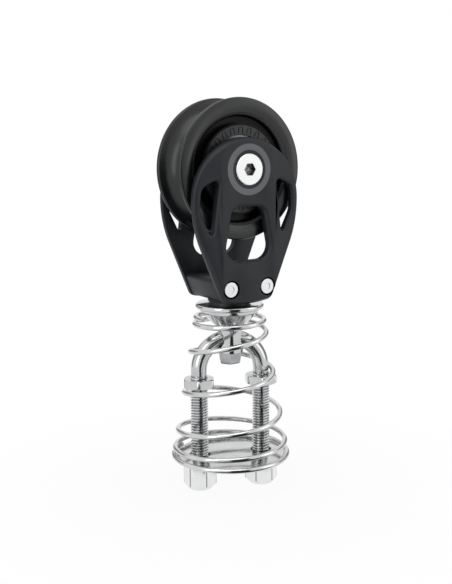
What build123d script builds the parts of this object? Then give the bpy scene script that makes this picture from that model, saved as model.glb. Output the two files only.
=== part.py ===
# Stand-up block: a rope sheave between two forged cheeks, on a toggle that rocks on a U-bolt
# and is stood up by a conical spring. Millimetres, +Z up. The origin is the centre of the base
# disc's underside. +Y runs along the sheave's axle and the front cheek faces -Y.
from build123d import *
from math import acos, asin, atan2, ceil, cos, degrees, hypot, radians, sin, sqrt, tan
import os

os.makedirs("parts", exist_ok=True)

# Sheave and its rope groove
sheave_radius = 30.0
groove_depth = 7.7
groove_half_width = 8.2
rim_width = 2.0
rim_round = 0.85
lip_bulge = 0.35
lip_width = 7.8
lip_inner_step = 1.0
recess_depth = 3.4
ridge_width = 0.8
axle_height = 128.6

# Bearing
axle_radius = 5.0
axle_bore_radius = 3.0
core_boss_radius = 8.0
core_boss_length = 2.0
running_clearance = 0.05
liner_wall = 1.15
liner_end_gap = 0.2
ball_radius = 1.8
ball_circle_share = 0.51
ball_offset = 6.9
race_depth = 0.65
race_half_width = 1.7
race_wall = 2.2
retainer_outer_reach = 3.05
retainer_inner_reach = 0.8
retainer_thickness = 0.9
retainer_seat_clearance = 0.05
finger_count = 24
finger_width = 2.3
finger_slot = 0.4
finger_slot_depth = 0.4
finger_root_margin = 0.5

# Cheeks: a round top, a wide side curve, a straight taper and a round bottom
cheek_gap = 23.8
cheek_panel_thickness = 4.3
cheek_edge_thickness = 2.8
cheek_panel_share = 0.515
cheek_top_radius = 26.2
cheek_top = 13.5
cheek_side_share = 0.665
cheek_foot_half_width = 11.63
cheek_bottom = -57.2
cheek_bottom_radius = 60.0
cheek_corner_round = 3.2
cheek_edge_bevel = 0.7
cheek_bevel_width = 1.3
window_top = -15.6
window_bottom = -38.4
window_top_share = 0.29
window_bottom_share = 0.466
window_top_round = 4.5
window_bottom_round = 6.0
window_bevel = 1.3
side_window_shares = [0.534, 0.855, 0.885, 0.664]
side_window_heights = [-3.2, -7.2, -17.3, -28.8]
side_window_rounds = [1.8, 4.5, 9.0, 1.0]
side_window_bevel = 0.8

# Axle screws
axle_head_radius = 6.6
axle_head_thickness = 2.6
axle_head_chamfer = 0.3
axle_head_recess_gap = 0.2
axle_seat_wall = 2.2
axle_socket_flats = 5.0
axle_socket_depth = 2.0
axle_screw_reach = 8.0

# Head block, its rivets and the swivel
head_top = -46.0
head_bottom = -57.5
head_inset = 0.4
head_edge_round = 1.2
head_boss_radius = 9.6
head_boss_height = 2.2
rivet_spread = 9.2
rivet_height = -50.2
rivet_radius = 2.5
rivet_head_radius = 3.3
rivet_head_thickness = 1.6
rivet_head_round = 0.3
rivet_recess_gap = 0.4
rivet_seat_wall = 2.5
rivet_dimple_radius = 1.5
rivet_dimple_depth = 0.35
swivel_radius = 4.0
swivel_clearance = 0.05
swivel_axial_clearance = 0.1
bushing_wall = 1.2
swivel_head_radius = 6.6
swivel_head_thickness = 3.8
swivel_head_round = 1.3
swivel_socket_flats = 5.0
swivel_socket_depth = 2.2
swivel_head_gap = 0.6
swivel_pocket_depth = 3.2
upper_washer_radius = 6.6
upper_washer_thickness = 0.9
lower_washer_radius = 9.0
lower_washer_thickness = 1.1
swivel_thread_depth = 9.6

# Toggle: flange, cone, neck with the eye, hexagon foot
flange_radius = 15.1
flange_thickness = 2.2
flange_round = 0.8
collar_radius = 12.9
collar_straight = 1.6
cone_bottom_height = 59.2
neck_radius = 5.9
neck_blend_radius = 2.0
foot_top_height = 47.6
foot_bottom_height = 42.6
foot_flats = 9.8
foot_taper_angle = 8.0
foot_turn = 31.5
foot_tip_radius = 3.4
foot_tip_height = 1.1
eye_clearance = 0.25

# U-bolt, base disc and nuts. The threads that stand free have ring grooves one pitch apart.
base_turn = -18.0
leg_spacing = 28.5
bar_radius = 3.55
thread_radius = 3.95
thread_root_radius = 3.4
thread_pitch = 1.25
thread_free_start = 2.6
thread_free_end = 31.6
arch_centre_height = 40.0
thread_top_height = 38.2
leg_bottom_height = -12.6
leg_end_chamfer = 0.7
leg_top_chamfer = 0.35
disc_radius = 24.2
disc_thickness = 1.5
disc_edge_round = 0.4
disc_hole_radius = 4.4
nut_flats = 13.0
nut_chamfer_angle = 30.0
upper_nut_height = 4.0
upper_nut_bottom = 32.6
upper_nut_angles = [16.0, 24.0]
lock_nut_height = 14.0
lock_nut_hex_height = 12.2
lock_nut_collar_radius = 5.9
lock_nut_collar_round = 1.4
lock_nut_angles = [20.0, 4.0]
insert_wall = 1.0
insert_height = 2.4
insert_recess = 0.8

# Spring: it lies on the deck around the disc, and its pitch changes over three stretches of turns
wire_radius = 1.15
spring_disc_gap = 0.15
spring_top_radius = 14.9
spring_top_height = 64.0
spring_turns = 6.185
spring_top_angle = 186.5
spring_lift_turns = (0.25, 0.85)
spring_lift_pitch = 5.9
spring_open_turns = (1.25, 2.75)
spring_close_turns = (4.3, 5.1)
spring_close_pitch = 15.5
spring_arcs_per_turn = 8

# Worked-out places
groove_root_radius = sheave_radius - groove_depth
lip_inner_radius = sheave_radius - lip_width
ball_circle_radius = sheave_radius * ball_circle_share
race_groove_radius = ball_radius + running_clearance
inner_race_radius = ball_circle_radius - race_groove_radius + race_depth
outer_race_radius = ball_circle_radius + race_groove_radius - race_depth
core_radius = inner_race_radius - race_wall
retainer_outer_radius = ball_circle_radius + retainer_outer_reach
retainer_inner_radius = ball_circle_radius - retainer_inner_reach
rim_outer = groove_half_width + rim_width
cheek_inner = cheek_gap / 2
panel_face = cheek_inner + cheek_panel_thickness
edge_face = cheek_inner + cheek_edge_thickness
cheek_top_centre = cheek_top - cheek_top_radius
cheek_panel_half_width = cheek_top_radius * cheek_panel_share
window_top_half_width = cheek_top_radius * window_top_share
window_bottom_half_width = cheek_top_radius * window_bottom_share
cheek_span = 2 * (cheek_top - cheek_bottom)
axle_seat = cheek_inner + axle_seat_wall
rivet_seat = cheek_inner + rivet_seat_wall
liner_inner_radius = core_radius + running_clearance
liner_outer_radius = liner_inner_radius + liner_wall
race_inner_side = ball_offset - race_half_width
race_outer_side = ball_offset + race_half_width
retainer_side = ball_offset + ball_radius + 2 * running_clearance
retainer_face = retainer_side + retainer_thickness
ridge_inner_radius = retainer_outer_radius + retainer_seat_clearance
ridge_outer_radius = ridge_inner_radius + ridge_width
lip_inner_side = rim_outer - lip_inner_step
flange_top = axle_height + head_bottom - lower_washer_thickness - swivel_axial_clearance
flange_bottom = flange_top - flange_thickness
bushing_radius = swivel_radius + swivel_clearance + bushing_wall
pocket_floor = head_top - swivel_pocket_depth
swivel_seat = axle_height + pocket_floor + upper_washer_thickness + swivel_axial_clearance
arch_radius = leg_spacing / 2
spring_bottom_radius = disc_radius + spring_disc_gap + wire_radius
apex_height = arch_centre_height + arch_radius

axle_place = Pos(0, 0, axle_height)
# Turns a shape built upward so that its +Z points out of the front cheek, towards -Y
facing_front = axle_place * Rot(90, 0, 0)
base_place = Rot(0, 0, base_turn)


def save(shape, name):
    export_step(shape, f"parts/{name}.step")


def mirrored_back(shape):
    return mirror(shape, about=Plane.XZ)


def rod(radius, bottom, top):
    return Pos(0, 0, bottom) * extrude(Circle(radius), top - bottom)


def ring(inner, outer, bottom, top):
    return Pos(0, 0, bottom) * extrude(Circle(outer) - Circle(inner), top - bottom)


def turned(face):
    """Revolves a face drawn with X as radius and Y as height about Z."""
    return revolve(Plane.XZ * face, Axis.Z)


def polygon(points):
    return make_face(Polyline(*points, close=True))


def hexagon(flats):
    return RegularPolygon(flats / sqrt(3), 6)


def rounded_polygon(points, rounds):
    """A closed outline whose corners are rounded one by one, in the order of its points."""
    shape = polygon(points)
    for point, amount in zip(points, rounds):
        corner = min(shape.vertices(), key=lambda v: (v.X - point[0]) ** 2 + (v.Y - point[1]) ** 2)
        shape = fillet(corner, amount)
    return shape


def sheave():
    """The sheave: a round rope groove, bulged lips, ball grooves and seats for the retainer rings."""
    groove = ThreePointArc(
        (sheave_radius, -groove_half_width),
        (groove_root_radius, 0),
        (sheave_radius, groove_half_width),
    )
    hub_steps = [
        (lip_inner_radius, lip_inner_side),
        (lip_inner_radius, rim_outer - recess_depth),
        (ridge_outer_radius, rim_outer - recess_depth),
        (ridge_outer_radius, retainer_face),
        (ridge_inner_radius, retainer_face),
        (ridge_inner_radius, retainer_side),
        (outer_race_radius, retainer_side),
        (outer_race_radius, race_inner_side),
        (liner_outer_radius, race_inner_side),
    ]
    lip_middle = (sheave_radius + lip_inner_radius) / 2
    edges = [groove]
    for side in (1, -1):
        rim_corner = (sheave_radius, side * rim_outer)
        bulge = (lip_middle, side * (rim_outer + lip_bulge))
        lip_corner = (lip_inner_radius, side * lip_inner_side)
        edges.append(Line((sheave_radius, side * groove_half_width), rim_corner))
        edges.append(ThreePointArc(rim_corner, bulge, lip_corner))
        edges.append(Polyline(*[(radius, side * height) for radius, height in hub_steps]))
    edges.append(Line((liner_outer_radius, -race_inner_side), (liner_outer_radius, race_inner_side)))
    face = make_face(edges)
    recess_floor = rim_outer - recess_depth
    rounded = []
    for v in face.vertices():
        on_rim = v.X > sheave_radius - rim_round / 2
        on_lip = abs(v.X - lip_inner_radius) < rim_round / 2 and abs(v.Y) > recess_floor + rim_round
        if on_rim or on_lip:
            rounded.append(v)
    body = turned(fillet(rounded, rim_round))
    for side in (1, -1):
        body -= Pos(0, 0, side * ball_offset) * Torus(ball_circle_radius, race_groove_radius)
    return facing_front * body


def retainer():
    """The front ball retainer ring, with a U-shaped groove around each snap finger."""
    body = ring(retainer_inner_radius, retainer_outer_radius, 0, retainer_thickness)
    arch_outer = finger_width / 2
    arch_inner = arch_outer - finger_slot
    arch_place = retainer_outer_radius - finger_root_margin - arch_outer
    foot_place = retainer_inner_radius + finger_root_margin
    loop = Pos(arch_place, 0) * (Circle(arch_outer) - Circle(arch_inner))
    loop &= Pos(arch_place + arch_outer, 0) * Rectangle(2 * arch_outer, 2 * finger_width)
    for side in (1, -1):
        leg = Rectangle(arch_place - foot_place, finger_slot)
        loop += Pos((arch_place + foot_place) / 2, side * (arch_outer - finger_slot / 2)) * leg
    cutter = Pos(0, 0, retainer_thickness - finger_slot_depth) * extrude(loop, 2 * finger_slot_depth)
    body -= [Rot(0, 0, 360 * i / finger_count) * cutter for i in range(finger_count)]
    return facing_front * Pos(0, 0, retainer_side) * body


def ball_row():
    """The front row of balls, as many as fit side by side."""
    pitch_angle = 2 * degrees(asin((ball_radius + running_clearance) / ball_circle_radius))
    count = int(360 / pitch_angle)
    balls = []
    for i in range(count):
        place = Rot(0, 0, 360 * i / count) * Pos(ball_circle_radius, 0, ball_offset)
        balls.append(facing_front * place * Sphere(ball_radius))
    return Compound(balls)


def inner_race():
    body = ring(core_radius, inner_race_radius, race_inner_side, race_outer_side)
    body -= Pos(0, 0, ball_offset) * Torus(ball_circle_radius, race_groove_radius)
    return facing_front * body


def bearing_core():
    body = ring(axle_radius, core_boss_radius, -cheek_inner, cheek_inner)
    shoulder = cheek_inner - core_boss_length
    return facing_front * (body + ring(axle_radius, core_radius, -shoulder, shoulder))


def bearing_liner():
    half_length = race_inner_side - liner_end_gap
    return facing_front * ring(liner_inner_radius, liner_outer_radius, -half_length, half_length)


def axle_sleeve():
    return facing_front * ring(axle_bore_radius, axle_radius, -axle_seat, axle_seat)


def axle_screw():
    """The front axle screw: a flat head with a hexagon socket and a shank that threads into the sleeve."""
    face_height = axle_seat + axle_head_thickness
    head = rod(axle_head_radius, axle_seat, face_height)
    head = chamfer(head.edges().sort_by(Axis.Z)[-1], axle_head_chamfer)
    body = head + rod(axle_bore_radius, axle_seat - axle_screw_reach, axle_seat)
    socket = extrude(hexagon(axle_socket_flats), axle_socket_depth)
    return facing_front * (body - Pos(0, 0, face_height - axle_socket_depth) * socket)


def cheek_outline():
    """The cheek's outline, with X across, Y up and the axle at its origin."""
    # The side arc leaves the top arc at its widest place and ends where the straight taper touches it.
    foot_in = cheek_top_radius - cheek_foot_half_width
    foot_down = cheek_top_centre - cheek_bottom
    side_radius = cheek_side_share * (foot_in**2 + foot_down**2) / (2 * foot_in)
    side_centre = cheek_top_radius - side_radius
    foot_from_centre = hypot(side_radius - foot_in, foot_down)
    turn = atan2(foot_down, side_radius - foot_in) - acos(side_radius / foot_from_centre)
    taper_x = side_centre + side_radius * cos(turn)
    taper_y = cheek_top_centre - side_radius * sin(turn)
    middle_x = side_centre + side_radius * cos(turn / 2)
    middle_y = cheek_top_centre - side_radius * sin(turn / 2)
    end_y = cheek_bottom - cheek_corner_round
    end_x = taper_x - (taper_y - end_y) * tan(turn)
    widest = (cheek_top_radius, cheek_top_centre)
    edges = [ThreePointArc((-widest[0], widest[1]), (0, cheek_top), widest)]
    for side in (1, -1):
        start = (side * taper_x, taper_y)
        edges.append(ThreePointArc((side * widest[0], widest[1]), (side * middle_x, middle_y), start))
        edges.append(Line(start, (side * end_x, end_y)))
    edges.append(Line((-end_x, end_y), (end_x, end_y)))
    shape = make_face(edges) & Pos(0, cheek_bottom + cheek_bottom_radius) * Circle(cheek_bottom_radius)
    return fillet(shape.vertices().sort_by(Axis.Y)[:2], cheek_corner_round)


def centre_window():
    right = [
        (window_top_half_width, window_top, window_top_round),
        (window_bottom_half_width, window_bottom, window_bottom_round),
    ]
    left = [(-x, y, amount) for x, y, amount in reversed(right)]
    corners = right + left
    return rounded_polygon([(x, y) for x, y, amount in corners], [amount for x, y, amount in corners])


def cut_window(body, shape, bevel):
    """Cuts a window through the plate and bevels its outer edge."""
    body -= Pos(0, 0, cheek_inner / 2) * extrude(shape, cheek_gap)
    box = shape.bounding_box()
    centre = (box.min + box.max) / 2
    rim = []
    for face in body.faces():
        if face.normal_at().Z > 0.9:
            for edge in face.edges():
                across = abs(edge.center().X - centre.X) < box.size.X / 2 + 0.01
                along = abs(edge.center().Y - centre.Y) < box.size.Y / 2 + 0.01
                if across and along:
                    rim.append(edge)
    return chamfer(rim, bevel)


def cheek():
    """The front cheek: a forged plate with a flat middle panel, sides that fall away and three windows."""
    outline = cheek_outline()
    bevel_start = edge_face - cheek_edge_bevel
    plate = Pos(0, 0, cheek_inner) * extrude(outline, bevel_start - cheek_inner)
    bevel_foot = Pos(0, 0, bevel_start) * outline
    bevel_top = Pos(0, 0, panel_face) * offset(outline, -cheek_bevel_width)
    plate += loft([bevel_foot, bevel_top], ruled=True)
    slope = (panel_face - edge_face) / (cheek_top_radius - cheek_panel_half_width)
    reach = cheek_top_radius + 1
    roof = polygon(
        [
            (-reach, cheek_inner / 2),
            (reach, cheek_inner / 2),
            (reach, edge_face - slope),
            (cheek_panel_half_width, panel_face),
            (-cheek_panel_half_width, panel_face),
            (-reach, edge_face - slope),
        ]
    )
    body = plate & extrude(Plane.XZ * roof, cheek_span, both=True)
    body = cut_window(body, centre_window(), window_bevel)
    side_places = [share * cheek_top_radius for share in side_window_shares]
    side_window = rounded_polygon(list(zip(side_places, side_window_heights)), side_window_rounds)
    body = cut_window(body, side_window, side_window_bevel)
    body = cut_window(body, mirror(side_window, about=Plane.YZ), side_window_bevel)
    body -= rod(axle_radius, 0, cheek_gap)
    body -= rod(axle_head_radius + axle_head_recess_gap, axle_seat, cheek_gap)
    for side in (1, -1):
        place = Pos(side * rivet_spread, rivet_height, 0)
        body -= place * rod(rivet_radius, 0, cheek_gap)
        body -= place * rod(rivet_head_radius + rivet_recess_gap, rivet_seat, cheek_gap)
    return facing_front * body


def head_block():
    """The block between the cheeks' lower ends, with a boss under it, bored for the rivets and the swivel."""
    outline = offset(cheek_outline(), -head_inset)
    outline &= Pos(0, (head_top + head_bottom) / 2) * Rectangle(cheek_span, head_top - head_bottom)
    body = Pos(0, 0, -cheek_inner) * extrude(outline, cheek_gap)
    upper = [e for e in body.edges().filter_by(Axis.Z) if e.center().Y > head_top - 0.01]
    body = fillet(upper, head_edge_round)
    for side in (1, -1):
        body -= Pos(side * rivet_spread, rivet_height, 0) * rod(rivet_radius, -cheek_gap, cheek_gap)
    boss_foot = axle_height + head_bottom
    body = facing_front * body + rod(head_boss_radius, boss_foot, boss_foot + head_boss_height)
    body -= rod(bushing_radius, boss_foot - 1, axle_height + head_top + 1)
    pocket_radius = swivel_head_radius + swivel_head_gap
    return body - rod(pocket_radius, axle_height + pocket_floor, axle_height + head_top + 1)


def head_rivet():
    """One rivet through both cheeks and the head block, with a head in each cheek's recess."""
    body = rod(rivet_radius, -rivet_seat, rivet_seat)
    face_height = rivet_seat + rivet_head_thickness
    head = rod(rivet_head_radius, rivet_seat, face_height)
    head = fillet(head.edges().sort_by(Axis.Z)[-1], rivet_head_round)
    head -= rod(rivet_dimple_radius, face_height - rivet_dimple_depth, face_height + 1)
    body += head
    body += Rot(180, 0, 0) * head
    return facing_front * Pos(0, rivet_height, 0) * body


def swivel_bolt():
    """The swivel bolt: a button head over the upper washer and a shank that threads into the toggle."""
    face_height = swivel_seat + swivel_head_thickness
    head = rod(swivel_head_radius, swivel_seat, face_height)
    head = fillet(head.edges().sort_by(Axis.Z)[-1], swivel_head_round)
    socket = extrude(hexagon(swivel_socket_flats), swivel_socket_depth)
    head -= Pos(0, 0, face_height - swivel_socket_depth) * socket
    return head + rod(swivel_radius, flange_top - swivel_thread_depth, swivel_seat)


def swivel_bushing():
    inner = swivel_radius + swivel_clearance
    return ring(inner, bushing_radius, axle_height + head_bottom, axle_height + pocket_floor)


def upper_washer():
    start = axle_height + pocket_floor
    inner = swivel_radius + swivel_clearance
    return ring(inner, upper_washer_radius, start, start + upper_washer_thickness)


def lower_washer():
    return ring(swivel_radius, lower_washer_radius, flange_top, flange_top + lower_washer_thickness)


def eye_cutter():
    """The eye's flared hole, which clears the curved bar at every lean of the toggle about the bar."""
    throat = arch_radius - bar_radius - eye_clearance
    reach = neck_radius + eye_clearance
    mouth = arch_radius - sqrt(throat**2 - reach**2)
    edges = [
        ThreePointArc((mouth, -reach), (arch_radius - throat, 0), (mouth, reach)),
        Polyline((mouth, reach), (0, reach), (0, -reach), (mouth, -reach)),
    ]
    return Pos(0, 0, apex_height) * Rot(0, 90, 0) * turned(make_face(edges))


def toggle():
    """Flange, cone, neck with the eye and hexagon foot, turned and milled from one bar."""
    outline = polygon(
        [
            (0, foot_top_height),
            (neck_radius, foot_top_height),
            (neck_radius, cone_bottom_height),
            (collar_radius, flange_bottom - collar_straight),
            (collar_radius, flange_bottom),
            (flange_radius, flange_bottom),
            (flange_radius, flange_top),
            (0, flange_top),
        ]
    )
    for point, amount in [
        ((flange_radius, flange_top), flange_round),
        ((flange_radius, flange_bottom), flange_round),
        ((neck_radius, cone_bottom_height), neck_blend_radius),
    ]:
        corner = min(outline.vertices(), key=lambda v: (v.X - point[0]) ** 2 + (v.Y - point[1]) ** 2)
        outline = fillet(corner, amount)
    foot_height = foot_top_height - foot_bottom_height
    tip = polygon(
        [
            (0, 0),
            (foot_tip_radius, 0),
            (foot_flats / 2, foot_tip_height),
            (foot_flats, foot_height),
            (0, foot_height),
        ]
    )
    prism = extrude(hexagon(foot_flats), foot_height, taper=foot_taper_angle)
    foot = Pos(0, 0, foot_height) * Rot(180, 0, 0) * prism & turned(tip)
    body = turned(outline) + Pos(0, 0, foot_bottom_height) * Rot(0, 0, foot_turn) * foot
    body -= base_place * eye_cutter()
    return body - rod(swivel_radius, flange_top - swivel_thread_depth, flange_top + 1)


def threaded_leg():
    """One leg from its end up to the bend, with grooves where the thread stands free."""
    crests = ceil((thread_free_end - thread_free_start) / thread_pitch)
    points = [
        (0, leg_bottom_height),
        (thread_radius - leg_end_chamfer, leg_bottom_height),
        (thread_radius, leg_bottom_height + leg_end_chamfer),
    ]
    for i in range(crests):
        start = thread_free_start + i * thread_pitch
        points += [(thread_radius, start), (thread_root_radius, start + thread_pitch / 2)]
    points += [
        (thread_radius, thread_free_start + crests * thread_pitch),
        (thread_radius, thread_top_height - leg_top_chamfer),
        (thread_radius - leg_top_chamfer, thread_top_height),
        (0, thread_top_height),
    ]
    return turned(polygon(points))


def u_bolt():
    """The U-bolt: a bar bent to a half circle, with two legs that are threaded at their lower ends."""
    left = (-arch_radius, 0, thread_top_height)
    right = (arch_radius, 0, thread_top_height)
    left_bend = (-arch_radius, 0, arch_centre_height)
    right_bend = (arch_radius, 0, arch_centre_height)
    path = Wire(
        [
            Line(left, left_bend),
            ThreePointArc(left_bend, (0, 0, apex_height), right_bend),
            Line(right_bend, right),
        ]
    )
    body = sweep(Plane(left, z_dir=(0, 0, 1)) * Circle(bar_radius), path)
    leg = threaded_leg()
    for side in (1, -1):
        body += Pos(side * arch_radius, 0, 0) * leg
    return base_place * body


def base_disc():
    body = rod(disc_radius, 0, disc_thickness)
    body = fillet(body.edges().filter_by(GeomType.CIRCLE), disc_edge_round)
    for side in (1, -1):
        body -= Pos(side * arch_radius, 0, 0) * rod(disc_hole_radius, -1, disc_thickness + 1)
    return base_place * body


def hex_blank(height, chamfered_bottom):
    """A hexagon prism with its top corners cut by a cone, and its bottom ones too where asked."""
    corner = nut_flats / sqrt(3)
    flat = nut_flats / 2
    drop = (corner - flat) * tan(radians(nut_chamfer_angle))
    points = [(0, 0), (corner, 0), (corner, height - drop), (flat, height), (0, height)]
    if chamfered_bottom:
        points = [(0, 0), (flat, 0), (corner, drop)] + points[2:]
    return extrude(hexagon(nut_flats), height) & turned(polygon(points))


def upper_nut(side, turn):
    body = hex_blank(upper_nut_height, True) - rod(thread_radius, -1, upper_nut_height + 1)
    place = Pos(side * arch_radius, 0, upper_nut_bottom) * Rot(0, 0, turn)
    return base_place * place * body


def lock_nut(side, turn):
    """A tall lock nut under the disc: hexagon, rounded collar and a pocket for the locking ring."""
    hex_part = hex_blank(lock_nut_hex_height, False)
    collar = rod(lock_nut_collar_radius, 0, lock_nut_height)
    collar = fillet(collar.edges().sort_by(Axis.Z)[-1], lock_nut_collar_round)
    insert_top = lock_nut_height - insert_recess
    body = hex_part + collar
    body -= rod(thread_radius, -1, lock_nut_height + 1)
    body -= rod(thread_radius + insert_wall, insert_top - insert_height, insert_top)
    return base_place * Pos(side * arch_radius, 0, 0) * Rot(180, 0, turn) * body


def lock_insert(side):
    top = insert_recess - lock_nut_height
    body = ring(thread_radius, thread_radius + insert_wall, top, top + insert_height)
    return base_place * Pos(side * arch_radius, 0, 0) * body


def ramp_area(turns, start, end):
    """The area so far under a smooth step from 0 to 1 that runs between two numbers of turns."""
    share = min(max((turns - start) / (end - start), 0), 1)
    return (end - start) * (share**3 - share**4 / 2) + max(turns - end, 0)


def spring_rise(turns):
    """Height above the spring's lower end after this many turns. The middle pitch fits the top's height."""

    def outer_rise(place):
        gained = spring_lift_pitch * ramp_area(place, *spring_lift_turns)
        return gained - spring_close_pitch * ramp_area(place, *spring_close_turns)

    missing = spring_top_height - wire_radius - outer_rise(spring_turns)
    open_pitch = missing / ramp_area(spring_turns, *spring_open_turns)
    return outer_rise(turns) + open_pitch * ramp_area(turns, *spring_open_turns)


def spring_point(turns):
    rise = spring_rise(turns)
    narrowing = (spring_bottom_radius - spring_top_radius) / (spring_top_height - wire_radius)
    radius = spring_bottom_radius - narrowing * rise
    angle = radians(spring_top_angle - 360 * (spring_turns - turns))
    return (radius * cos(angle), radius * sin(angle), wire_radius + rise)


def spring():
    """The conical spring: a flat lowest coil, an open middle and close top coils of one round wire."""
    arcs = ceil(spring_turns * spring_arcs_per_turn)
    points = [spring_point(spring_turns * i / (2 * arcs)) for i in range(2 * arcs + 1)]
    path = Wire([ThreePointArc(*points[2 * i : 2 * i + 3]) for i in range(arcs)])
    section = Plane(path @ 0, z_dir=path % 0) * Circle(wire_radius)
    return sweep(section, path)


def main():
    front_parts = {
        "retainer": retainer(),
        "ball_row": ball_row(),
        "inner_race": inner_race(),
        "axle_screw": axle_screw(),
        "cheek": cheek(),
    }
    for name, shape in front_parts.items():
        save(shape, f"{name}_front")
        save(mirrored_back(shape), f"{name}_back")
    rivet = head_rivet()
    for side, name in ((-1, "left"), (1, "right")):
        save(Pos(side * rivet_spread, 0, 0) * rivet, f"head_rivet_{name}")
        index = max(side, 0)
        save(upper_nut(side, upper_nut_angles[index]), f"upper_nut_{name}")
        save(lock_nut(side, lock_nut_angles[index]), f"lock_nut_{name}")
        save(lock_insert(side), f"lock_insert_{name}")
    save(sheave(), "sheave")
    save(bearing_core(), "bearing_core")
    save(bearing_liner(), "bearing_liner")
    save(axle_sleeve(), "axle_sleeve")
    save(head_block(), "head_block")
    save(swivel_bolt(), "swivel_bolt")
    save(swivel_bushing(), "swivel_bushing")
    save(upper_washer(), "upper_washer")
    save(lower_washer(), "lower_washer")
    save(toggle(), "toggle")
    save(u_bolt(), "u_bolt")
    save(base_disc(), "base_disc")
    save(spring(), "spring")


main()
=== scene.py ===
from math import cos, hypot, pi, radians, sin, sqrt, tan

import bmesh
import bpy
from mathutils import Matrix, Vector


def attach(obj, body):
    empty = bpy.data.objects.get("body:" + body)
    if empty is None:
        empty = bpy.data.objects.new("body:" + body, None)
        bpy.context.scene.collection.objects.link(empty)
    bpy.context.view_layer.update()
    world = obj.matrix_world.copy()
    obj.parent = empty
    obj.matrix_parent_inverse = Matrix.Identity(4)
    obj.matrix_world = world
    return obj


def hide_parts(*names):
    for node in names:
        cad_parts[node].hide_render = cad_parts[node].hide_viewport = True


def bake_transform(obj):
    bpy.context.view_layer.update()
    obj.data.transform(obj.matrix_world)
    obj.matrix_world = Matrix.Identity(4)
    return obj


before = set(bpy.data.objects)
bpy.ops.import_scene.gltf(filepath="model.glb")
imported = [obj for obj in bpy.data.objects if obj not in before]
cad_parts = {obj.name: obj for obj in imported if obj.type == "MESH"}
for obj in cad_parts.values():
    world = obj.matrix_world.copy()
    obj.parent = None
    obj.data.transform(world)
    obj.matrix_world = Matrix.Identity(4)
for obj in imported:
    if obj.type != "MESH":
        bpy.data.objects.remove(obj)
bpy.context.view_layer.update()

# All sizes below are in millimetres, and every finished mesh is brought to metres at the end.
MM = 0.001
weld_distance = 0.0005
axle_height = 128.6

# Sheave
sheave_radius = 30.0
groove_root_radius = 22.3
groove_half_width = 8.2
rim_outer = 10.2
rim_round = 0.85
lip_bulge = 0.35
lip_inner_radius = 22.2
lip_inner_side = 9.2
recess_floor = 6.8
ridge_outer_radius = 19.2
ridge_inner_radius = 18.4
retainer_side = 8.8
retainer_face = 9.7
outer_race_radius = 16.5
race_inner_side = 5.1
hub_radius = 13.1
groove_steps = 32
sheave_segments = 160
turning_phase_per_metre = 18000.0
lip_teeth = 180.0

# Cheeks, rivets and axle screws
cheek_edge_round = 0.25
panel_face = 16.2
ring_inner_radius = 8.1
ring_outer_radius = 10.7
ring_blur = 0.06
screw_face = 16.7
screw_phase_per_metre = 14000.0
socket_radius = 3.2
rivet_spread = 9.2
rivet_height = 78.4
# The radii and blur of the ring of painted shade in the gap round each rivet.
rivet_gap_shade_inner = 3.25
rivet_gap_shade_outer = 3.95
rivet_gap_shade_blur = 0.08

# Toggle
flange_radius = 15.1
flange_top = 69.9
flange_bottom = 67.7
flange_round = 0.8
collar_radius = 12.9
collar_low = 66.1
cone_bottom = 59.2
neck_radius = 5.9
foot_top = 47.6
foot_bottom = 42.6
foot_flats = 9.8
foot_taper = 8.0
foot_turn = 31.5
foot_round = 1.0
swivel_radius = 4.0
swivel_hole_depth = 9.6
eye_clearance = 0.25
eye_steps = 24

# U-bolt, nuts, disc and threads
base_turn = -18.0
arch_radius = 14.25
arch_centre = 40.0
bar_radius = 3.55
thread_crest = 3.95
thread_root = 3.32
thread_pitch = 1.25
thread_top = 38.2
thread_steps_per_turn = 32
leg_bottom = -12.6
thread_start = leg_bottom + 0.5
thread_end = thread_top - 0.6
flare_start = thread_top - 1.6
flare_end = thread_top - 0.4
core_step = 0.02
bar_end = thread_top - 0.2
nut_edge_round = 0.28
disc_radius = 24.2
disc_thickness = 1.5
disc_round = 0.4
disc_hole_radius = 4.4
apex_height = arch_centre + arch_radius

# Spring. Its pitch changes over three stretches of turns: the end coil lifts, the coils open, and they close
# towards the top. Each gives its first and last turn, and lift and closing also give the change of pitch.
wire_radius = 1.15
spring_bottom_radius = 25.5
spring_top_radius = 14.9
spring_top_height = 64.0
spring_turns = 6.185
spring_top_angle = 186.5
spring_lift = (0.25, 0.85, 5.9)
spring_opening = (1.25, 2.75)
spring_closing = (4.3, 5.1, -15.5)
spring_split_height = 47.0
spring_steps_per_turn = 72
wire_segments = 20

base_place = Matrix.Rotation(radians(base_turn), 4, "Z")
facing_front = Matrix.Translation((0, 0, axle_height)) @ Matrix.Rotation(radians(90), 4, "X")


# ---- Meshes ----


def finish_piece(bm, name, material, body, replaced=(), place=Matrix.Identity(4), sharp=32):
    """Turns a bmesh in millimetres into a finished piece in metres and gives it to its body, if it has one.

    Edges that turn by more than the sharp angle in degrees keep a hard shade.
    """
    weld(bm)
    bmesh.ops.recalc_face_normals(bm, faces=bm.faces)
    bmesh.ops.transform(bm, matrix=Matrix.Scale(MM, 4) @ place, verts=bm.verts)
    mesh = bpy.data.meshes.new(name)
    bm.to_mesh(mesh)
    bm.free()
    mesh.shade_smooth()
    mesh.set_sharp_from_angle(angle=radians(sharp))
    mesh.materials.append(material)
    piece = bpy.data.objects.new(name, mesh)
    bpy.context.scene.collection.objects.link(piece)
    if body:
        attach(piece, body)
    if replaced:
        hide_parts(*replaced)
    return piece


def weld(bm):
    """Joins the vertices that share one place."""
    bmesh.ops.remove_doubles(bm, verts=bm.verts, dist=weld_distance)


def only_verts(geometry):
    return [g for g in geometry if isinstance(g, bmesh.types.BMVert)]


def ring_edges(bm, verts):
    """The edges that run between these vertices."""
    chosen = set(verts)
    return [e for e in bm.edges if e.verts[0] in chosen and e.verts[1] in chosen]


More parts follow.
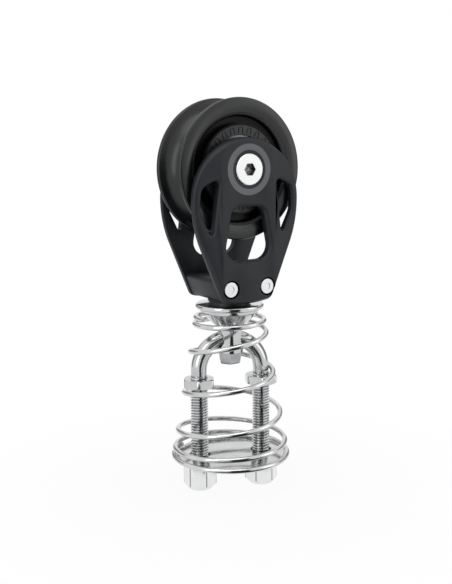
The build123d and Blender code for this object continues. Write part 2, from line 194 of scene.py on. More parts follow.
def spin(bm, geometry, steps, angle=2 * pi, centre=(0, 0, 0), axis=(0, 0, 1), rise=0.0, merged=False):
    """Turns geometry about an axis, rises a little at each step, and returns the vertices at its end."""
    last = bmesh.ops.spin(
        bm, geom=geometry, cent=centre, axis=axis, dvec=(0, 0, rise), angle=angle, steps=steps,
        use_merge=merged, use_normal_flip=False, use_duplicate=False,
    )["geom_last"]
    return only_verts(last)


def bevel(bm, edges, amount, steps, clamped=True):
    """Rounds edges and returns the new faces."""
    return bmesh.ops.bevel(
        bm, geom=edges, offset=amount, offset_type="OFFSET", segments=steps, profile=0.5,
        affect="EDGES", material=-1, clamp_overlap=clamped,
    )["faces"]


def lathe(profile, rounds=(), segments=128):
    """Spins a closed profile of (radius, height) about Z and rounds the named corners."""
    bm = bmesh.new()
    verts = [bm.verts.new((radius, 0, height)) for radius, height in profile]
    edges = [bm.edges.new(pair) for pair in zip(verts, verts[1:] + verts[:1])]
    edges = [e for e in edges if max(v.co.x for v in e.verts) > weld_distance]
    spin(bm, verts + edges, segments, merged=True)
    weld(bm)
    bmesh.ops.delete(bm, geom=[e for e in bm.edges if not e.link_faces], context="EDGES")
    for radius, height, amount, steps in rounds:
        round_ring(bm, radius, height, amount, steps)
    return bm


def round_ring(bm, radius, height, amount, steps, reach=0.02):
    """Rounds the ring of edges that lies within reach of one radius and height."""
    near = [
        vert for vert in bm.verts
        if abs(hypot(vert.co.x, vert.co.y) - radius) < reach and abs(vert.co.z - height) < reach
    ]
    bevel(bm, ring_edges(bm, near), amount, steps)


def grow_ring(bm, ring, rise):
    """Extrudes a ring straight up or down and returns the new ring."""
    grown = only_verts(bmesh.ops.extrude_edge_only(bm, edges=ring_edges(bm, ring))["geom"])
    bmesh.ops.translate(bm, vec=(0, 0, rise), verts=grown)
    return grown


def sweep(places, radius, segments):
    """Carries a ring from place to place by extruding it, and closes both ends."""
    bm = bmesh.new()
    made = bmesh.ops.create_circle(bm, cap_ends=False, radius=radius, segments=segments, matrix=places[0])
    edges = ring_edges(bm, made["verts"])
    close_end(bm, edges, radius)
    for before, after in zip(places, places[1:]):
        grown = bmesh.ops.extrude_edge_only(bm, edges=edges)["geom"]
        verts = only_verts(grown)
        new = set(verts)
        edges = [g for g in grown if isinstance(g, bmesh.types.BMEdge) and set(g.verts) <= new]
        bmesh.ops.transform(bm, matrix=after @ before.inverted(), verts=verts)
    close_end(bm, edges, radius)
    return bm


def close_end(bm, edges, radius):
    """Caps an open ring with a flat face. Two narrow bands at its edge keep the shading even."""
    cap = bmesh.ops.contextual_create(bm, geom=edges)["faces"]
    for share in (0.12, 0.02):
        bmesh.ops.inset_region(bm, faces=cap, thickness=radius * share, depth=0)


def merged_copy(node):
    """A node's own mesh in millimetres, with its loose triangles joined."""
    bm = bmesh.new()
    bm.from_mesh(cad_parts[node].data)
    bmesh.ops.transform(bm, matrix=Matrix.Scale(1 / MM, 4), verts=bm.verts)
    weld(bm)
    return bm


def merge_in(bm, other):
    """Adds another bmesh's shape to this one."""
    carrier = bpy.data.meshes.new("carrier")
    other.to_mesh(carrier)
    other.free()
    bm.from_mesh(carrier)
    bpy.data.meshes.remove(carrier)


def cut_by(bm, cutters):
    """Subtracts closed meshes from a mesh, exactly."""
    mesh = bpy.data.meshes.new("cut_body")
    bmesh.ops.recalc_face_normals(bm, faces=bm.faces)
    bm.to_mesh(mesh)
    bm.free()
    body = bpy.data.objects.new("cut_body", mesh)
    bpy.context.scene.collection.objects.link(body)
    tools = []
    for i, cutter in enumerate(cutters):
        bmesh.ops.recalc_face_normals(cutter, faces=cutter.faces)
        tool_mesh = bpy.data.meshes.new(f"cutter_{i}")
        cutter.to_mesh(tool_mesh)
        cutter.free()
        tool = bpy.data.objects.new(f"cutter_{i}", tool_mesh)
        bpy.context.scene.collection.objects.link(tool)
        cut = body.modifiers.new(f"cut_{i}", "BOOLEAN")
        cut.operation = "DIFFERENCE"
        cut.solver = "EXACT"
        cut.object = tool
        tools.append(tool)
    shaped = body.evaluated_get(bpy.context.evaluated_depsgraph_get())
    result = bmesh.new()
    result.from_mesh(shaped.to_mesh())
    for thing in tools + [body]:
        bpy.data.objects.remove(thing)
    return result


# ---- Materials ----


def add(tree, kind, inputs=None, **settings):
    """Adds a node and sets its settings and inputs, which go by name or number. A socket is linked."""
    node = tree.nodes.new("ShaderNode" + kind)
    for key, value in settings.items():
        setattr(node, key, value)
    for key, value in (inputs or {}).items():
        if isinstance(value, bpy.types.NodeSocket):
            tree.links.new(value, node.inputs[key])
        else:
            node.inputs[key].default_value = value
    return node


def object_place(tree):
    return add(tree, "TexCoord").outputs["Object"]


def start_material(name):
    material = bpy.data.materials.new(name)
    material.use_nodes = True
    tree = material.node_tree
    return material, tree, tree.nodes["Principled BSDF"], object_place(tree)


def copy_material(source, name):
    """A copy of a material, with its tree, its shader and the colour that it has so far."""
    material = source.copy()
    material.name = name
    tree = material.node_tree
    shader = tree.nodes["Principled BSDF"]
    return material, tree, shader, shader.inputs["Base Color"].links[0].from_socket


def show(tree, surface):
    tree.links.new(surface, tree.nodes["Material Output"].inputs["Surface"])


def noise(tree, place, scale, detail=3.0, rough=0.5, stretch=(1, 1, 1)):
    """A noise of the given scale per metre, drawn out along the axes with a small stretch."""
    mapped = add(tree, "Mapping", {"Vector": place, "Scale": stretch}).outputs["Vector"]
    node = add(tree, "TexNoise", {"Vector": mapped, "Scale": scale, "Detail": detail, "Roughness": rough})
    return node.outputs["Fac"]


def spread(tree, value, low, high, start=0.3, end=0.7):
    """Carries a value from its own range to low..high."""
    inputs = {"Value": value, "From Min": start, "From Max": end, "To Min": low, "To Max": high}
    return add(tree, "MapRange", inputs, clamp=True).outputs["Result"]


def blend_colours(tree, factor, first, second):
    """Mixes two colours. The node has its colour sockets at 6 and 7, and the mixed colour at 2."""
    return add(tree, "Mix", {0: factor, 6: first, 7: second}, data_type="RGBA").outputs[2]


def rgb(r, g, b):
    return (r, g, b, 1.0)


def grey(tone):
    return rgb(tone, tone, tone)


def bump(tree, layers):
    """Stacks heights of (value, strength, distance) into one normal."""
    normal = None
    for value, strength, distance in layers:
        inputs = {"Height": value, "Strength": strength, "Distance": distance}
        if normal is not None:
            inputs["Normal"] = normal
        normal = add(tree, "Bump", inputs).outputs["Normal"]
    return normal


def maths(tree, operation, *values):
    return add(tree, "Math", dict(enumerate(values)), operation=operation).outputs[0]


def parts_of(tree, vector):
    return add(tree, "SeparateXYZ", {"Vector": vector}).outputs


def length_of(tree, vector):
    return add(tree, "VectorMath", {0: vector}, operation="LENGTH").outputs["Value"]


def line_distance(tree, place, across, height):
    """The distance in metres from a line along Y at this X and height."""
    moved = add(tree, "VectorMath", {0: place, 1: (across, 0, height)}, operation="SUBTRACT")
    flat = add(tree, "VectorMath", {0: moved.outputs["Vector"], 1: (1, 0, 1)}, operation="MULTIPLY")
    return length_of(tree, flat.outputs["Vector"])


def axle_distance(tree, place):
    return line_distance(tree, place, 0, axle_height * MM)


def axle_angle(tree, place):
    """The angle round the axle's line."""
    parts = parts_of(tree, place)
    return maths(tree, "ARCTAN2", maths(tree, "SUBTRACT", parts["Z"], axle_height * MM), parts["X"])


def side_distance(tree, place):
    """How far a point lies to the front or the back of the middle plane."""
    return maths(tree, "ABSOLUTE", parts_of(tree, place)["Y"])


def leg_distance(tree, place):
    """The distance in metres from the axis of the nearer leg."""
    turned = add(tree, "Mapping", {"Vector": place, "Rotation": (0, 0, radians(-base_turn))})
    parts = parts_of(tree, turned.outputs["Vector"])
    across = maths(tree, "SUBTRACT", maths(tree, "ABSOLUTE", parts["X"]), arch_radius * MM)
    away = add(tree, "CombineXYZ", {"X": across, "Y": parts["Y"]}).outputs["Vector"]
    return length_of(tree, away)


def step(tree, distance, first, second, start, end):
    """Goes from one value to the other as a distance in metres crosses two bounds in millimetres."""
    return spread(tree, distance, first, second, start * MM, end * MM)


def between(tree, distance, low, high, blur):
    """1 where a distance in metres lies between two bounds in millimetres, with soft edges."""
    rise = step(tree, distance, 0, 1, low - blur, low + blur)
    fall = step(tree, distance, 1, 0, high - blur, high + blur)
    return maths(tree, "MULTIPLY", rise, fall)


def black_finish(name, dark, light, roughness, specular, grain_scale, grain_depth, marks):
    """Black anodised aluminium: a fine grain and small changes of tone, then the marks of its own part. Where
    the marks ask for it, a near-black matt shader is mixed in as painted shade.
    """
    material, tree, shader, place = start_material(name)
    cloud = noise(tree, place, 90, 4)
    fine = noise(tree, place, grain_scale, 2)
    tone = blend_colours(tree, spread(tree, cloud, 0, 1), dark, light)
    tone, layers, painted_shade_mask = marks(tree, place, tone)
    tree.links.new(tone, shader.inputs["Base Color"])
    tree.links.new(spread(tree, cloud, roughness - 0.03, roughness + 0.05), shader.inputs["Roughness"])
    tree.links.new(bump(tree, [(fine, 0.6, grain_depth)] + layers), shader.inputs["Normal"])
    shader.inputs["Specular IOR Level"].default_value = specular
    # Painted shade: a near-black matt shader that the part's marks mix in over gaps and recesses.
    shadow = add(tree, "BsdfDiffuse", {"Color": rgb(0.001, 0.001, 0.0012)}).outputs["BSDF"]
    show(tree, add(tree, "MixShader", {0: painted_shade_mask, 1: shader.outputs["BSDF"], 2: shadow}).outputs[0])
    return material


def cheek_marks(tree, place, tone):
    """A plain grey ring printed round the axle on the cheek's outer face, and painted shade in the gaps round
    the rivets.
    """
    ring = between(tree, axle_distance(tree, place), ring_inner_radius, ring_outer_radius, ring_blur)
    outside = step(tree, side_distance(tree, place), 0, 1, panel_face - 0.2, panel_face - 0.1)
    tone = blend_colours(tree, maths(tree, "MULTIPLY", ring, outside), tone, rgb(0.15, 0.155, 0.165))
    painted_gap_shades = []
    # Painted shade in the gap round each rivet.
    for side in (-1, 1):
        distance = line_distance(tree, place, side * rivet_spread * MM, rivet_height * MM)
        painted_gap_shades.append(between(tree, distance, rivet_gap_shade_inner, rivet_gap_shade_outer, rivet_gap_shade_blur))
    return tone, [], maths(tree, "MAXIMUM", *painted_gap_shades)


def sheave_marks(tree, place, tone):
    """Turning marks, a row of fine moulded teeth at the lip's inner edge, and painted shade in the recess."""
    distance = axle_distance(tree, place)
    rings = maths(tree, "SINE", maths(tree, "MULTIPLY", distance, turning_phase_per_metre))
    waves = maths(tree, "SINE", maths(tree, "MULTIPLY", axle_angle(tree, place), lip_teeth))
    lip = between(tree, distance, lip_inner_radius + 0.1, lip_inner_radius + 1.7, 0.2)
    outside = step(tree, side_distance(tree, place), 0, 1, groove_half_width, lip_inner_side - 0.2)
    teeth = maths(tree, "MULTIPLY", maths(tree, "MULTIPLY", waves, outside), lip)
    # Painted shade inside the lip, where the recess lies.
    painted_recess_shade = step(tree, distance, 0.75, 0, lip_inner_radius - 0.3, lip_inner_radius + 0.2)
    return tone, [(rings, 0.5, 0.000003), (teeth, 1.0, 0.00008)], painted_recess_shade


def steel_finish(name, dark, light, low, high, grain=(1, 1, 1), depth=0.000002):
    """Stainless steel: polishing marks drawn out along the grain, and a roughness between low and high."""
    material, tree, shader, place = start_material(name)
    marks = noise(tree, place, 4000, 3, 0.6, grain)
    patches = noise(tree, place, 160, 3)
    tone = blend_colours(tree, spread(tree, patches, 0, 1), dark, light)
    tree.links.new(tone, shader.inputs["Base Color"])
    both = maths(tree, "MULTIPLY", spread(tree, marks, 0.75, 1.25), spread(tree, patches, low, high))
    tree.links.new(both, shader.inputs["Roughness"])
    tree.links.new(bump(tree, [(marks, 0.35, depth)]), shader.inputs["Normal"])
    shader.inputs["Metallic"].default_value = 1.0
    return material


def nut_finish(name, steel, painted_edge_reflection):
    """A nut's steel with a painted dark reflection on its rounded edges."""
    material, tree, shader, old = copy_material(steel, name)
    edge = add(tree, "Attribute", attribute_name="edge").outputs["Fac"]
    # The rounded edges take the painted dark reflection.
    tree.links.new(blend_colours(tree, edge, old, painted_edge_reflection), shader.inputs["Base Color"])
    return material


def thread_finish():
    """The bar's steel, with painted shade towards the bottom of the thread's grooves."""
    material, tree, shader, _ = copy_material(bar_steel, "thread_steel")
    distance = leg_distance(tree, object_place(tree))
    share = step(tree, distance, 0, 1, thread_root + 0.05, thread_crest - 0.08)
    # Painted shade: the base colour darkens from the crests down to the roots.
    tone = blend_colours(tree, share, rgb(0.34, 0.345, 0.35), rgb(0.8, 0.805, 0.81))
    tree.links.new(tone, shader.inputs["Base Color"])
    return material


def deck_finish():
    """The disc's polish, with painted shade in the holes round the legs."""
    material, tree, shader, old = copy_material(polished_steel, "deck_steel")
    distance = leg_distance(tree, object_place(tree))
    near = step(tree, distance, 1, 0, disc_hole_radius + 0.35, disc_hole_radius + 0.5)
    # Painted shade in the holes round the legs.
    tree.links.new(blend_colours(tree, near, old, grey(0.01)), shader.inputs["Base Color"])
    return material


def screw_finish():
    """Bright satin steel with faint turned rings and painted shade in its socket."""
    material, tree, shader, place = start_material("screw_steel")
    distance = axle_distance(tree, place)
    speckle = noise(tree, place, 900, 3)
    depth = step(tree, side_distance(tree, place), 1, 0, screw_face - 0.3, screw_face - 0.1)
    inside = step(tree, distance, 1, 0, socket_radius - 0.2, socket_radius - 0.1)
    socket = maths(tree, "MULTIPLY", depth, inside)
    speckled = spread(tree, speckle, 0, 1)
    bright = blend_colours(tree, speckled, rgb(0.74, 0.745, 0.75), grey(0.84))
    # Painted shade on the socket's walls and floor.
    painted_socket_shade = blend_colours(tree, speckled, rgb(0.03, 0.03, 0.032), rgb(0.3, 0.3, 0.31))
    tree.links.new(blend_colours(tree, socket, bright, painted_socket_shade), shader.inputs["Base Color"])
    rings = maths(tree, "SINE", maths(tree, "MULTIPLY", distance, screw_phase_per_metre))
    tree.links.new(bump(tree, [(rings, 0.25, 0.000003)]), shader.inputs["Normal"])
    tree.links.new(spread(tree, speckle, 0.38, 0.5), shader.inputs["Roughness"])
    shader.inputs["Metallic"].default_value = 1.0
    return material


def plastic_finish(name, dark, light, roughness):
    """Moulded plastic: a fine grain, and small changes of tone and gloss."""
    material, tree, shader, place = start_material(name)
    cloud = noise(tree, place, 220, 3)
    fine = noise(tree, place, 5200, 2)
    tree.links.new(blend_colours(tree, spread(tree, cloud, 0, 1), dark, light), shader.inputs["Base Color"])
    tree.links.new(spread(tree, cloud, roughness - 0.04, roughness + 0.06), shader.inputs["Roughness"])
    tree.links.new(bump(tree, [(fine, 0.4, 0.000004)]), shader.inputs["Normal"])
    return material


cheek_black = black_finish(
    "cheek_black", rgb(0.012, 0.0145, 0.018), rgb(0.019, 0.0225, 0.027), roughness=0.45, specular=0.3,
    grain_scale=3800, grain_depth=0.00002, marks=cheek_marks,
)
sheave_black = black_finish(
    "sheave_black", rgb(0.003, 0.0035, 0.0045), rgb(0.006, 0.007, 0.0085), roughness=0.27, specular=0.5,
    grain_scale=5200, grain_depth=0.000006, marks=sheave_marks,
)
polished_steel = steel_finish(
    "polished_steel", rgb(0.52, 0.525, 0.53), rgb(0.62, 0.625, 0.63), 0.08, 0.15, depth=0.0000006,
)
bar_steel = steel_finish("bar_steel", rgb(0.5, 0.505, 0.51), rgb(0.6, 0.605, 0.61), 0.12, 0.2, (1, 1, 0.12))
thread_steel = thread_finish()
deck_steel = deck_finish()
wire_steel = steel_finish("wire_steel", rgb(0.54, 0.545, 0.54), rgb(0.66, 0.66, 0.66), 0.12, 0.2)
bright_steel = steel_finish(
    "bright_steel", rgb(0.76, 0.765, 0.77), rgb(0.84, 0.845, 0.85), 0.1, 0.18, (1, 1, 0.3), 0.0000003,
)
# The last colour of each nut's finish is the painted dark reflection on its rounded edges.
nut_steel = nut_finish("nut_steel", bright_steel, rgb(0.2, 0.205, 0.21))
upper_nut_steel = nut_finish("upper_nut_steel", bar_steel, rgb(0.3, 0.305, 0.31))
foot_steel = steel_finish("foot_steel", rgb(0.42, 0.43, 0.44), rgb(0.54, 0.55, 0.56), 0.3, 0.45)
satin_steel = steel_finish("satin_steel", rgb(0.66, 0.67, 0.68), rgb(0.8, 0.805, 0.81), 0.3, 0.44)
screw_steel = screw_finish()
race_steel = steel_finish("race_steel", rgb(0.16, 0.16, 0.17), rgb(0.24, 0.24, 0.25), 0.25, 0.4)
ring_plastic = plastic_finish("ring_plastic", rgb(0.009, 0.0095, 0.011), rgb(0.015, 0.016, 0.0185), 0.45)
liner_plastic = plastic_finish("liner_plastic", rgb(0.02, 0.02, 0.02), rgb(0.035, 0.035, 0.035), 0.5)
ball_plastic = plastic_finish("ball_plastic", rgb(0.5, 0.49, 0.44), rgb(0.62, 0.61, 0.56), 0.25)
nylon = plastic_finish("nylon", rgb(0.45, 0.47, 0.45), rgb(0.55, 0.57, 0.55), 0.35)

# These nodes are shown as the solids are, in these finishes.
node_finishes = {
    polished_steel: ["swivel_bolt"],
    satin_steel: ["head_rivet_left", "head_rivet_right", "axle_sleeve"],
    screw_steel: ["axle_screw_front", "axle_screw_back"],
    race_steel: ["bearing_core", "inner_race_front", "inner_race_back"],
    ring_plastic: ["retainer_front", "retainer_back", "swivel_bushing", "upper_washer", "lower_washer"],
    liner_plastic: ["bearing_liner"],
    ball_plastic: ["ball_row_front", "ball_row_back"],
    nylon: ["lock_insert_left", "lock_insert_right"],
}
for material, nodes in node_finishes.items():
    for node in nodes:
        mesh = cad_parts[node].data
        mesh.materials.clear()
        mesh.materials.append(material)


# ---- Spring ----


def ramp_area(turns, start, end):
    """The area so far under a smooth step from 0 to 1 that runs between two numbers of turns."""
    share = min(max((turns - start) / (end - start), 0), 1)
    return (end - start) * (share**3 - share**4 / 2) + max(turns - end, 0)


def spring_rise(turns):
    """Height above the spring's lower end after this many turns. The middle pitch fits the top's height."""
    lift_start, lift_end, lift_pitch = spring_lift
    close_start, close_end, close_pitch = spring_closing

    def outer_rise(place):
        gained = lift_pitch * ramp_area(place, lift_start, lift_end)
        return gained + close_pitch * ramp_area(place, close_start, close_end)

    missing = spring_top_height - wire_radius - outer_rise(spring_turns)
    open_pitch = missing / ramp_area(spring_turns, *spring_opening)
    return outer_rise(turns) + open_pitch * ramp_area(turns, *spring_opening)


def spring_point(turns):
    """Where the wire's middle is after this many turns."""
    rise = spring_rise(turns)
    narrowing = (spring_bottom_radius - spring_top_radius) / (spring_top_height - wire_radius)
    radius = spring_bottom_radius - narrowing * rise
    angle = radians(spring_top_angle - 360 * (spring_turns - turns))
    return Vector((radius * cos(angle), radius * sin(angle), wire_radius + rise))


def spring_places():
    """The wire's cross-section places, from the lower end to the upper end."""
    count = round(spring_turns * spring_steps_per_turn)
    points = [spring_point(spring_turns * i / count) for i in range(count + 1)]
    places = []
    for i, point in enumerate(points):
        along = (points[min(i + 1, count)] - points[max(i - 1, 0)]).normalized()
        outward = Vector((point.x, point.y, 0)).normalized()
        side = along.cross(outward).normalized()
        outward = side.cross(along)
        place = Matrix((outward, side, along)).transposed().to_4x4()
        place.translation = point
        places.append(place)
    return places


# The lower and upper coils are swept as two pieces, which meet at the first place above the split height.
places = spring_places()
split = next(i for i, place in enumerate(places) if place.translation.z > spring_split_height)
coils = sweep(places[: split + 1], wire_radius, wire_segments)
lower_coils = finish_piece(coils, "spring_lower_coils", wire_steel, None, ["spring"])
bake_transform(lower_coils)
coils = sweep(places[split:], wire_radius, wire_segments)
upper_coils = finish_piece(coils, "spring_upper_coils", wire_steel, None, ["spring"])
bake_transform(upper_coils)


# ---- U-bolt, its threads and the disc ----

# Both ends of the bar lie a little below the threads' top, inside their cores.
bar_start = Matrix.Translation((-arch_radius, 0, bar_end))
bm = bmesh.new()
ring = bmesh.ops.create_circle(bm, cap_ends=True, radius=bar_radius, segments=48, matrix=bar_start)["verts"]
ring = grow_ring(bm, ring, arch_centre - bar_end)
ring = spin(bm, ring + ring_edges(bm, ring), 56, pi, (0, 0, arch_centre), (0, 1, 0))
ring = grow_ring(bm, ring, bar_end - arch_centre)
bmesh.ops.contextual_create(bm, geom=ring_edges(bm, ring))
finish_piece(bm, "bent_bar", bar_steel, "base", ["u_bolt"], base_place)


def thread(side):
    """The rolled thread of one leg: the shape of one pitch, spun up the leg, over a core."""
    # Each point has a radius and its share of the pitch.
    shape = [
        (thread_root, 0),
        (thread_root, 0.1),
        (thread_crest, 0.44),
        (thread_crest, 0.56),
        (thread_root, 0.9),
        (thread_root, 1),
    ]
    turns = (thread_end - thread_start) / thread_pitch - 1
    steps = int(turns * thread_steps_per_turn)
    angle = 2 * pi * steps / thread_steps_per_turn
    bm = bmesh.new()
    first = [bm.verts.new((radius, 0, thread_start + share * thread_pitch)) for radius, share in shape]
    edges = [bm.edges.new(pair) for pair in zip(first, first[1:])]
    last = spin(bm, first + edges, steps, angle, rise=thread_pitch / thread_steps_per_turn)
    for end in (first, sorted(last, key=lambda vert: vert.co.z)):
        bm.faces.new(end)
    weld(bm)
    bmesh.ops.holes_fill(bm, edges=[e for e in bm.edges if e.is_boundary], sides=0)
    core = [
        (0, leg_bottom),
        (thread_root, leg_bottom),
        (thread_root, thread_start + thread_pitch),
        (thread_root - core_step, thread_start + thread_pitch),
        (thread_root - core_step, flare_start),
        (bar_radius, flare_end),
        (bar_radius, thread_top),
        (0, thread_top),
    ]
    merge_in(bm, lathe(core, segments=48))
    bmesh.ops.translate(bm, vec=(side * arch_radius, 0, 0), verts=bm.verts)
    return bm


threads = thread(-1)
merge_in(threads, thread(1))
finish_piece(threads, "leg_threads", thread_steel, "base", ["u_bolt"], base_place, sharp=20)

disc = lathe(
    [(0, 0), (disc_radius, 0), (disc_radius, disc_thickness), (0, disc_thickness)],
    [(disc_radius, 0, disc_round, 4), (disc_radius, disc_thickness, disc_round, 4)],
    segments=160,
)
holes = []
below, above = -1, disc_thickness + 1.5
for side in (-1, 1):
    hole = lathe([(0, below), (disc_hole_radius, below), (disc_hole_radius, above), (0, above)], segments=64)
    bmesh.ops.translate(hole, vec=(side * arch_radius, 0, 0), verts=hole.verts)
    holes.append(hole)
disc = cut_by(disc, holes)
finish_piece(disc, "deck_disc", deck_steel, "base", ["base_disc"], base_place)


# ---- Toggle ----

toggle_profile = [
    (0, foot_top),
    (neck_radius, foot_top),
    (neck_radius, cone_bottom),
    (collar_radius, collar_low),
    (collar_radius, flange_bottom),
    (flange_radius, flange_bottom),
    (flange_radius, flange_top),
    (swivel_radius, flange_top),
    (swivel_radius, flange_top - swivel_hole_depth),
    (0, flange_top - swivel_hole_depth),
]
toggle_rounds = [
    (neck_radius, foot_top, 0.4, 3),
    (neck_radius, cone_bottom, 1.4, 6),
    (flange_radius, flange_bottom, flange_round, 5),
    (flange_radius, flange_top, flange_round, 5),
    (collar_radius, flange_bottom, 0.3, 3),
    (collar_radius, collar_low, 0.5, 4),
]
toggle = lathe(toggle_profile, toggle_rounds)

# The eye flares to both sides, so that it fits round the bent bar.
throat = arch_radius - bar_radius - eye_clearance
reach = neck_radius + 1.5
eye_profile = [(0, -reach)]
for i in range(eye_steps + 1):
    height = -reach + 2 * reach * i / eye_steps
    eye_profile.append((arch_radius - sqrt(throat**2 - height**2), height))
eye_profile.append((0, reach))
eye = lathe(eye_profile, segments=64)
eye_place = base_place @ Matrix.Translation((0, 0, apex_height)) @ Matrix.Rotation(radians(90), 4, "Y")
bmesh.ops.transform(eye, matrix=eye_place, verts=eye.verts)
toggle = cut_by(toggle, [eye])
finish_piece(toggle, "toggle_body", polished_steel, "toggle", ["toggle"])

foot_height = foot_top - foot_bottom
foot_corner = foot_flats / sqrt(3)
tip_corner = foot_corner - foot_height * tan(radians(foot_taper)) * 2 / sqrt(3)
foot_middle = Matrix.Translation((0, 0, (foot_top + foot_bottom) / 2))
foot = bmesh.new()
bmesh.ops.create_cone(
    foot, cap_ends=True, segments=6, radius1=tip_corner, radius2=foot_corner, depth=foot_height,
    matrix=Matrix.Rotation(radians(foot_turn), 4, "Z") @ foot_middle,
)
low_edges = [e for e in foot.edges if all(v.co.z < foot_bottom + 0.01 for v in e.verts)]
bevel(foot, low_edges, foot_round, 5)
finish_piece(foot, "toggle_foot", foot_steel, "toggle", ["toggle"], sharp=25)


# ---- Cheeks, head block and nuts ----


def height_of(edge):
    return abs(edge.verts[0].co.z - edge.verts[1].co.z)


def eased_copy(node, material, body, amount, only_upright=False):
    """The node's own shape with its sharp edges slightly rounded. The attribute edge marks the new faces."""
    bm = merged_copy(node)
    bmesh.ops.dissolve_limit(
        bm, angle_limit=radians(1.5), use_dissolve_boundaries=False, verts=bm.verts, edges=bm.edges,
    )
    marked = bm.faces.layers.float.new("edge")
    sharp = [e for e in bm.edges if e.calc_face_angle(0) > radians(24)]
    if only_upright:
        sharp = [e for e in sharp if height_of(e) > max(1.5, 0.99 * e.calc_length())]
    for face in bevel(bm, sharp, amount, 2, clamped=False):
        face[marked] = 1.0
    bmesh.ops.triangulate(bm, faces=[f for f in bm.faces if len(f.verts) > 4])
    return finish_piece(bm, f"eased_{node}", material, body, [node], sharp=28)


for node in ("cheek_front", "cheek_back", "head_block"):
    eased_copy(node, cheek_black, "block", cheek_edge_round)
for side in ("left", "right"):
    eased_copy(f"upper_nut_{side}", upper_nut_steel, "base", nut_edge_round, True)
    eased_copy(f"lock_nut_{side}", nut_steel, "base", nut_edge_round, True)


# ---- Sheave ----

groove_depth = sheave_radius - groove_root_radius
groove_circle = (groove_half_width**2 + groove_depth**2) / (2 * groove_depth)
groove_middle = groove_root_radius + groove_circle
groove_points = []
for i in range(groove_steps + 1):
    height = groove_half_width * (2 * i / groove_steps - 1)
    groove_points.append((groove_middle - sqrt(groove_circle**2 - height**2), height))
upper_side = [
    (sheave_radius, rim_outer),
    ((sheave_radius + lip_inner_radius) / 2, rim_outer + lip_bulge),
    (lip_inner_radius, lip_inner_side),
    (lip_inner_radius, recess_floor),
    (ridge_outer_radius, recess_floor),
    (ridge_outer_radius, retainer_face),
    (ridge_inner_radius, retainer_face),
    (ridge_inner_radius, retainer_side),
    (outer_race_radius, retainer_side),
    (outer_race_radius, race_inner_side),
    (hub_radius, race_inner_side),
]
sheave_profile = groove_points + upper_side + [(radius, -height) for radius, height in reversed(upper_side)]
sheave_rounds = []
for side in (1, -1):
    sheave_rounds += [
        (sheave_radius, side * groove_half_width, 0.8, 4),
        (sheave_radius, side * rim_outer, rim_round, 4),
        (lip_inner_radius, side * lip_inner_side, rim_round, 4),
        (ridge_outer_radius, side * retainer_face, 0.2, 2),
        (ridge_inner_radius, side * retainer_face, 0.2, 2),
        (lip_inner_radius, side * recess_floor, 0.4, 3),
    ]
sheave = lathe(sheave_profile, sheave_rounds, sheave_segments)
finish_piece(sheave, "rope_sheave", sheave_black, "sheave", ["sheave"], facing_front)


# ---- Studio ----

floor_height = -14.0
floor_side = 6
room_light = 0.45
middle = Vector((0, 0, 0.08))


def stage_plane(name, size, place, material):
    """A flat rectangle that belongs to the studio and not to the object."""
    bm = bmesh.new()
    bmesh.ops.create_grid(bm, x_segments=1, y_segments=1, size=0.5)
    bmesh.ops.scale(bm, vec=(size[0], size[1], 1), verts=bm.verts)
    bmesh.ops.transform(bm, matrix=place, verts=bm.verts)
    mesh = bpy.data.meshes.new(name)
    bm.to_mesh(mesh)
    bm.free()
    mesh.materials.append(material)
    plane = bpy.data.objects.new(name, mesh)
    bpy.context.scene.collection.objects.link(plane)
    return plane


def looking(location, target):
    """A place at a location whose -Z looks at a target."""
    turn = (Vector(target) - Vector(location)).to_track_quat("-Z", "Y").to_matrix().to_4x4()
    return Matrix.Translation(location) @ turn


def seen_directly(tree):
    """1 for rays from the camera and for reflections, 0 for light that falls on the object."""
    paths = add(tree, "LightPath").outputs
    mirrored = maths(tree, "MAXIMUM", paths["Is Glossy Ray"], paths["Is Transmission Ray"])
    return maths(tree, "MAXIMUM", paths["Is Camera Ray"], mirrored)


def glow(tree, tone):
    return add(tree, "Emission", {"Color": grey(tone), "Strength": 1.0}).outputs["Emission"]


def floor_finish():
    """White paper that keeps the object's soft shadow and fades to the white backdrop away from it."""
    material, tree, shader, place = start_material("floor_paper")
    shader.inputs["Base Color"].default_value = grey(0.86)
    shader.inputs["Roughness"].default_value = 0.9
    shader.inputs["Specular IOR Level"].default_value = 0.0
    fade = step(tree, length_of(tree, place), 0.94, 1.0, 30, 150)
    share = maths(tree, "MULTIPLY", seen_directly(tree), fade)
    show(tree, add(tree, "MixShader", {0: share, 1: shader.outputs["BSDF"], 2: glow(tree, 1)}).outputs[0])
    return material


stage_plane("floor", (floor_side, floor_side), Matrix.Translation((0, 0, floor_height * MM)), floor_finish())

world = bpy.data.worlds.new("studio")
bpy.context.scene.world = world
world.use_nodes = True
background = world.node_tree.nodes["Background"]
strength = spread(world.node_tree, seen_directly(world.node_tree), room_light, 1.0, 0, 1)
world.node_tree.links.new(strength, background.inputs["Strength"])
background.inputs["Color"].default_value = grey(1)


def reflected_card(name, place, size, tone):
    """A card of one even tone that only reflections show, so that the steel has darker bands."""
    material = bpy.data.materials.new(name)
    material.use_nodes = True
    show(material.node_tree, glow(material.node_tree, tone))
    card = stage_plane(name, size, place, material)
    card.visible_camera = False
    card.visible_diffuse = False
    card.visible_shadow = False
    card.visible_transmission = False


def softbox(name, location, size, watts):
    """A lamp that shines on the object's middle."""
    light = bpy.data.lights.new(name, "AREA")
    light.shape = "RECTANGLE"
    light.size, light.size_y = size
    light.energy = watts
    lamp = bpy.data.objects.new(name, light)
    bpy.context.scene.collection.objects.link(lamp)
    lamp.matrix_world = looking(location, middle)


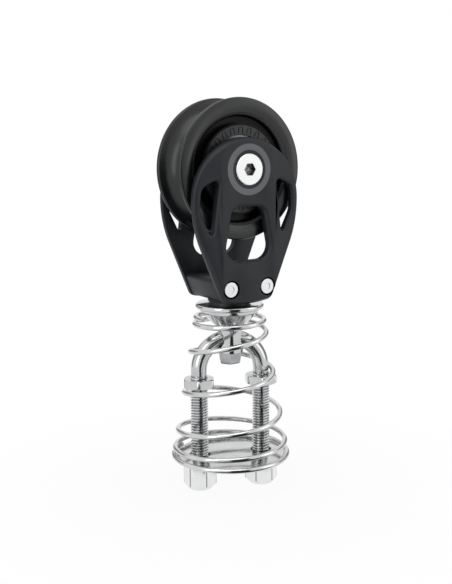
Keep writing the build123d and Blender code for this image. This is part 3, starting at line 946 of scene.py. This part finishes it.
# The camera stands where the photograph was taken from.
camera_azimuth = -32.46
camera_pitch = 9.47
camera_roll = -0.475
camera_distance = 0.4305
camera_aim_height = 0.07456
camera_aim_shift = -0.00151
picture_height_pixels = 584
camera_focal_pixels = 978
camera_sensor = 36.0
a, e = radians(camera_azimuth), radians(camera_pitch)
back = Vector((sin(a) * cos(e), -cos(a) * cos(e), sin(e)))
aim = Vector((cos(a), sin(a), 0)) * camera_aim_shift + Vector((0, 0, camera_aim_height))
camera_data = bpy.data.cameras.new("camera")
camera_data.sensor_width = camera_sensor
camera_data.lens = camera_sensor * camera_focal_pixels / picture_height_pixels
camera_data.clip_start = 0.01
camera = bpy.data.objects.new("camera", camera_data)
bpy.context.scene.collection.objects.link(camera)
roll = Matrix.Rotation(radians(camera_roll), 4, "Z")
camera.matrix_world = looking(aim + back * camera_distance, aim) @ roll
bpy.context.scene.camera = camera


def around(turn, lift, distance):
    """A place round the object: degrees to the right of the camera, degrees up, and metres away."""
    t, up = radians(camera_azimuth + turn), radians(lift)
    return middle + distance * Vector((sin(t) * cos(up), -cos(t) * cos(up), sin(up)))


softbox("top_softbox", around(-10, 72, 0.8), (0.6, 0.6), 1.6)
softbox("left_softbox", around(-40, 18, 0.8), (0.3, 0.7), 1.2)
softbox("right_softbox", around(78, 15, 0.8), (0.35, 0.7), 0.7)

# Darker cards that only reflections show: one beside the camera, one on the floor in front of the object, and
# two walls on either side behind it.
card_turn = 17


def standing_card(name, turn, distance, width, high, tone):
    """A card that stands on the floor and faces the object's axis."""
    low = floor_height * MM
    place = around(turn, 0, distance)
    place.z = (low + high) / 2
    facing = looking(place, Vector((0, 0, place.z)))
    reflected_card(name, facing, (width, high - low), tone)


standing_card("camera_card", card_turn, 0.23, 0.15, 0.15, 0.03)
lying = around(card_turn, 0, 0.13)
lying.z = (floor_height + 0.2) * MM
turned = Matrix.Translation(lying) @ Matrix.Rotation(radians(camera_azimuth + card_turn), 4, "Z")
reflected_card("floor_card", turned, (0.085, 0.2), 0.03)
for turn in (-145, -115, 115, 145):
    standing_card(f"wall_{turn}", turn, 0.5, 0.25, 0.25, 0.3)

bpy.context.scene.view_settings.view_transform = "Standard"
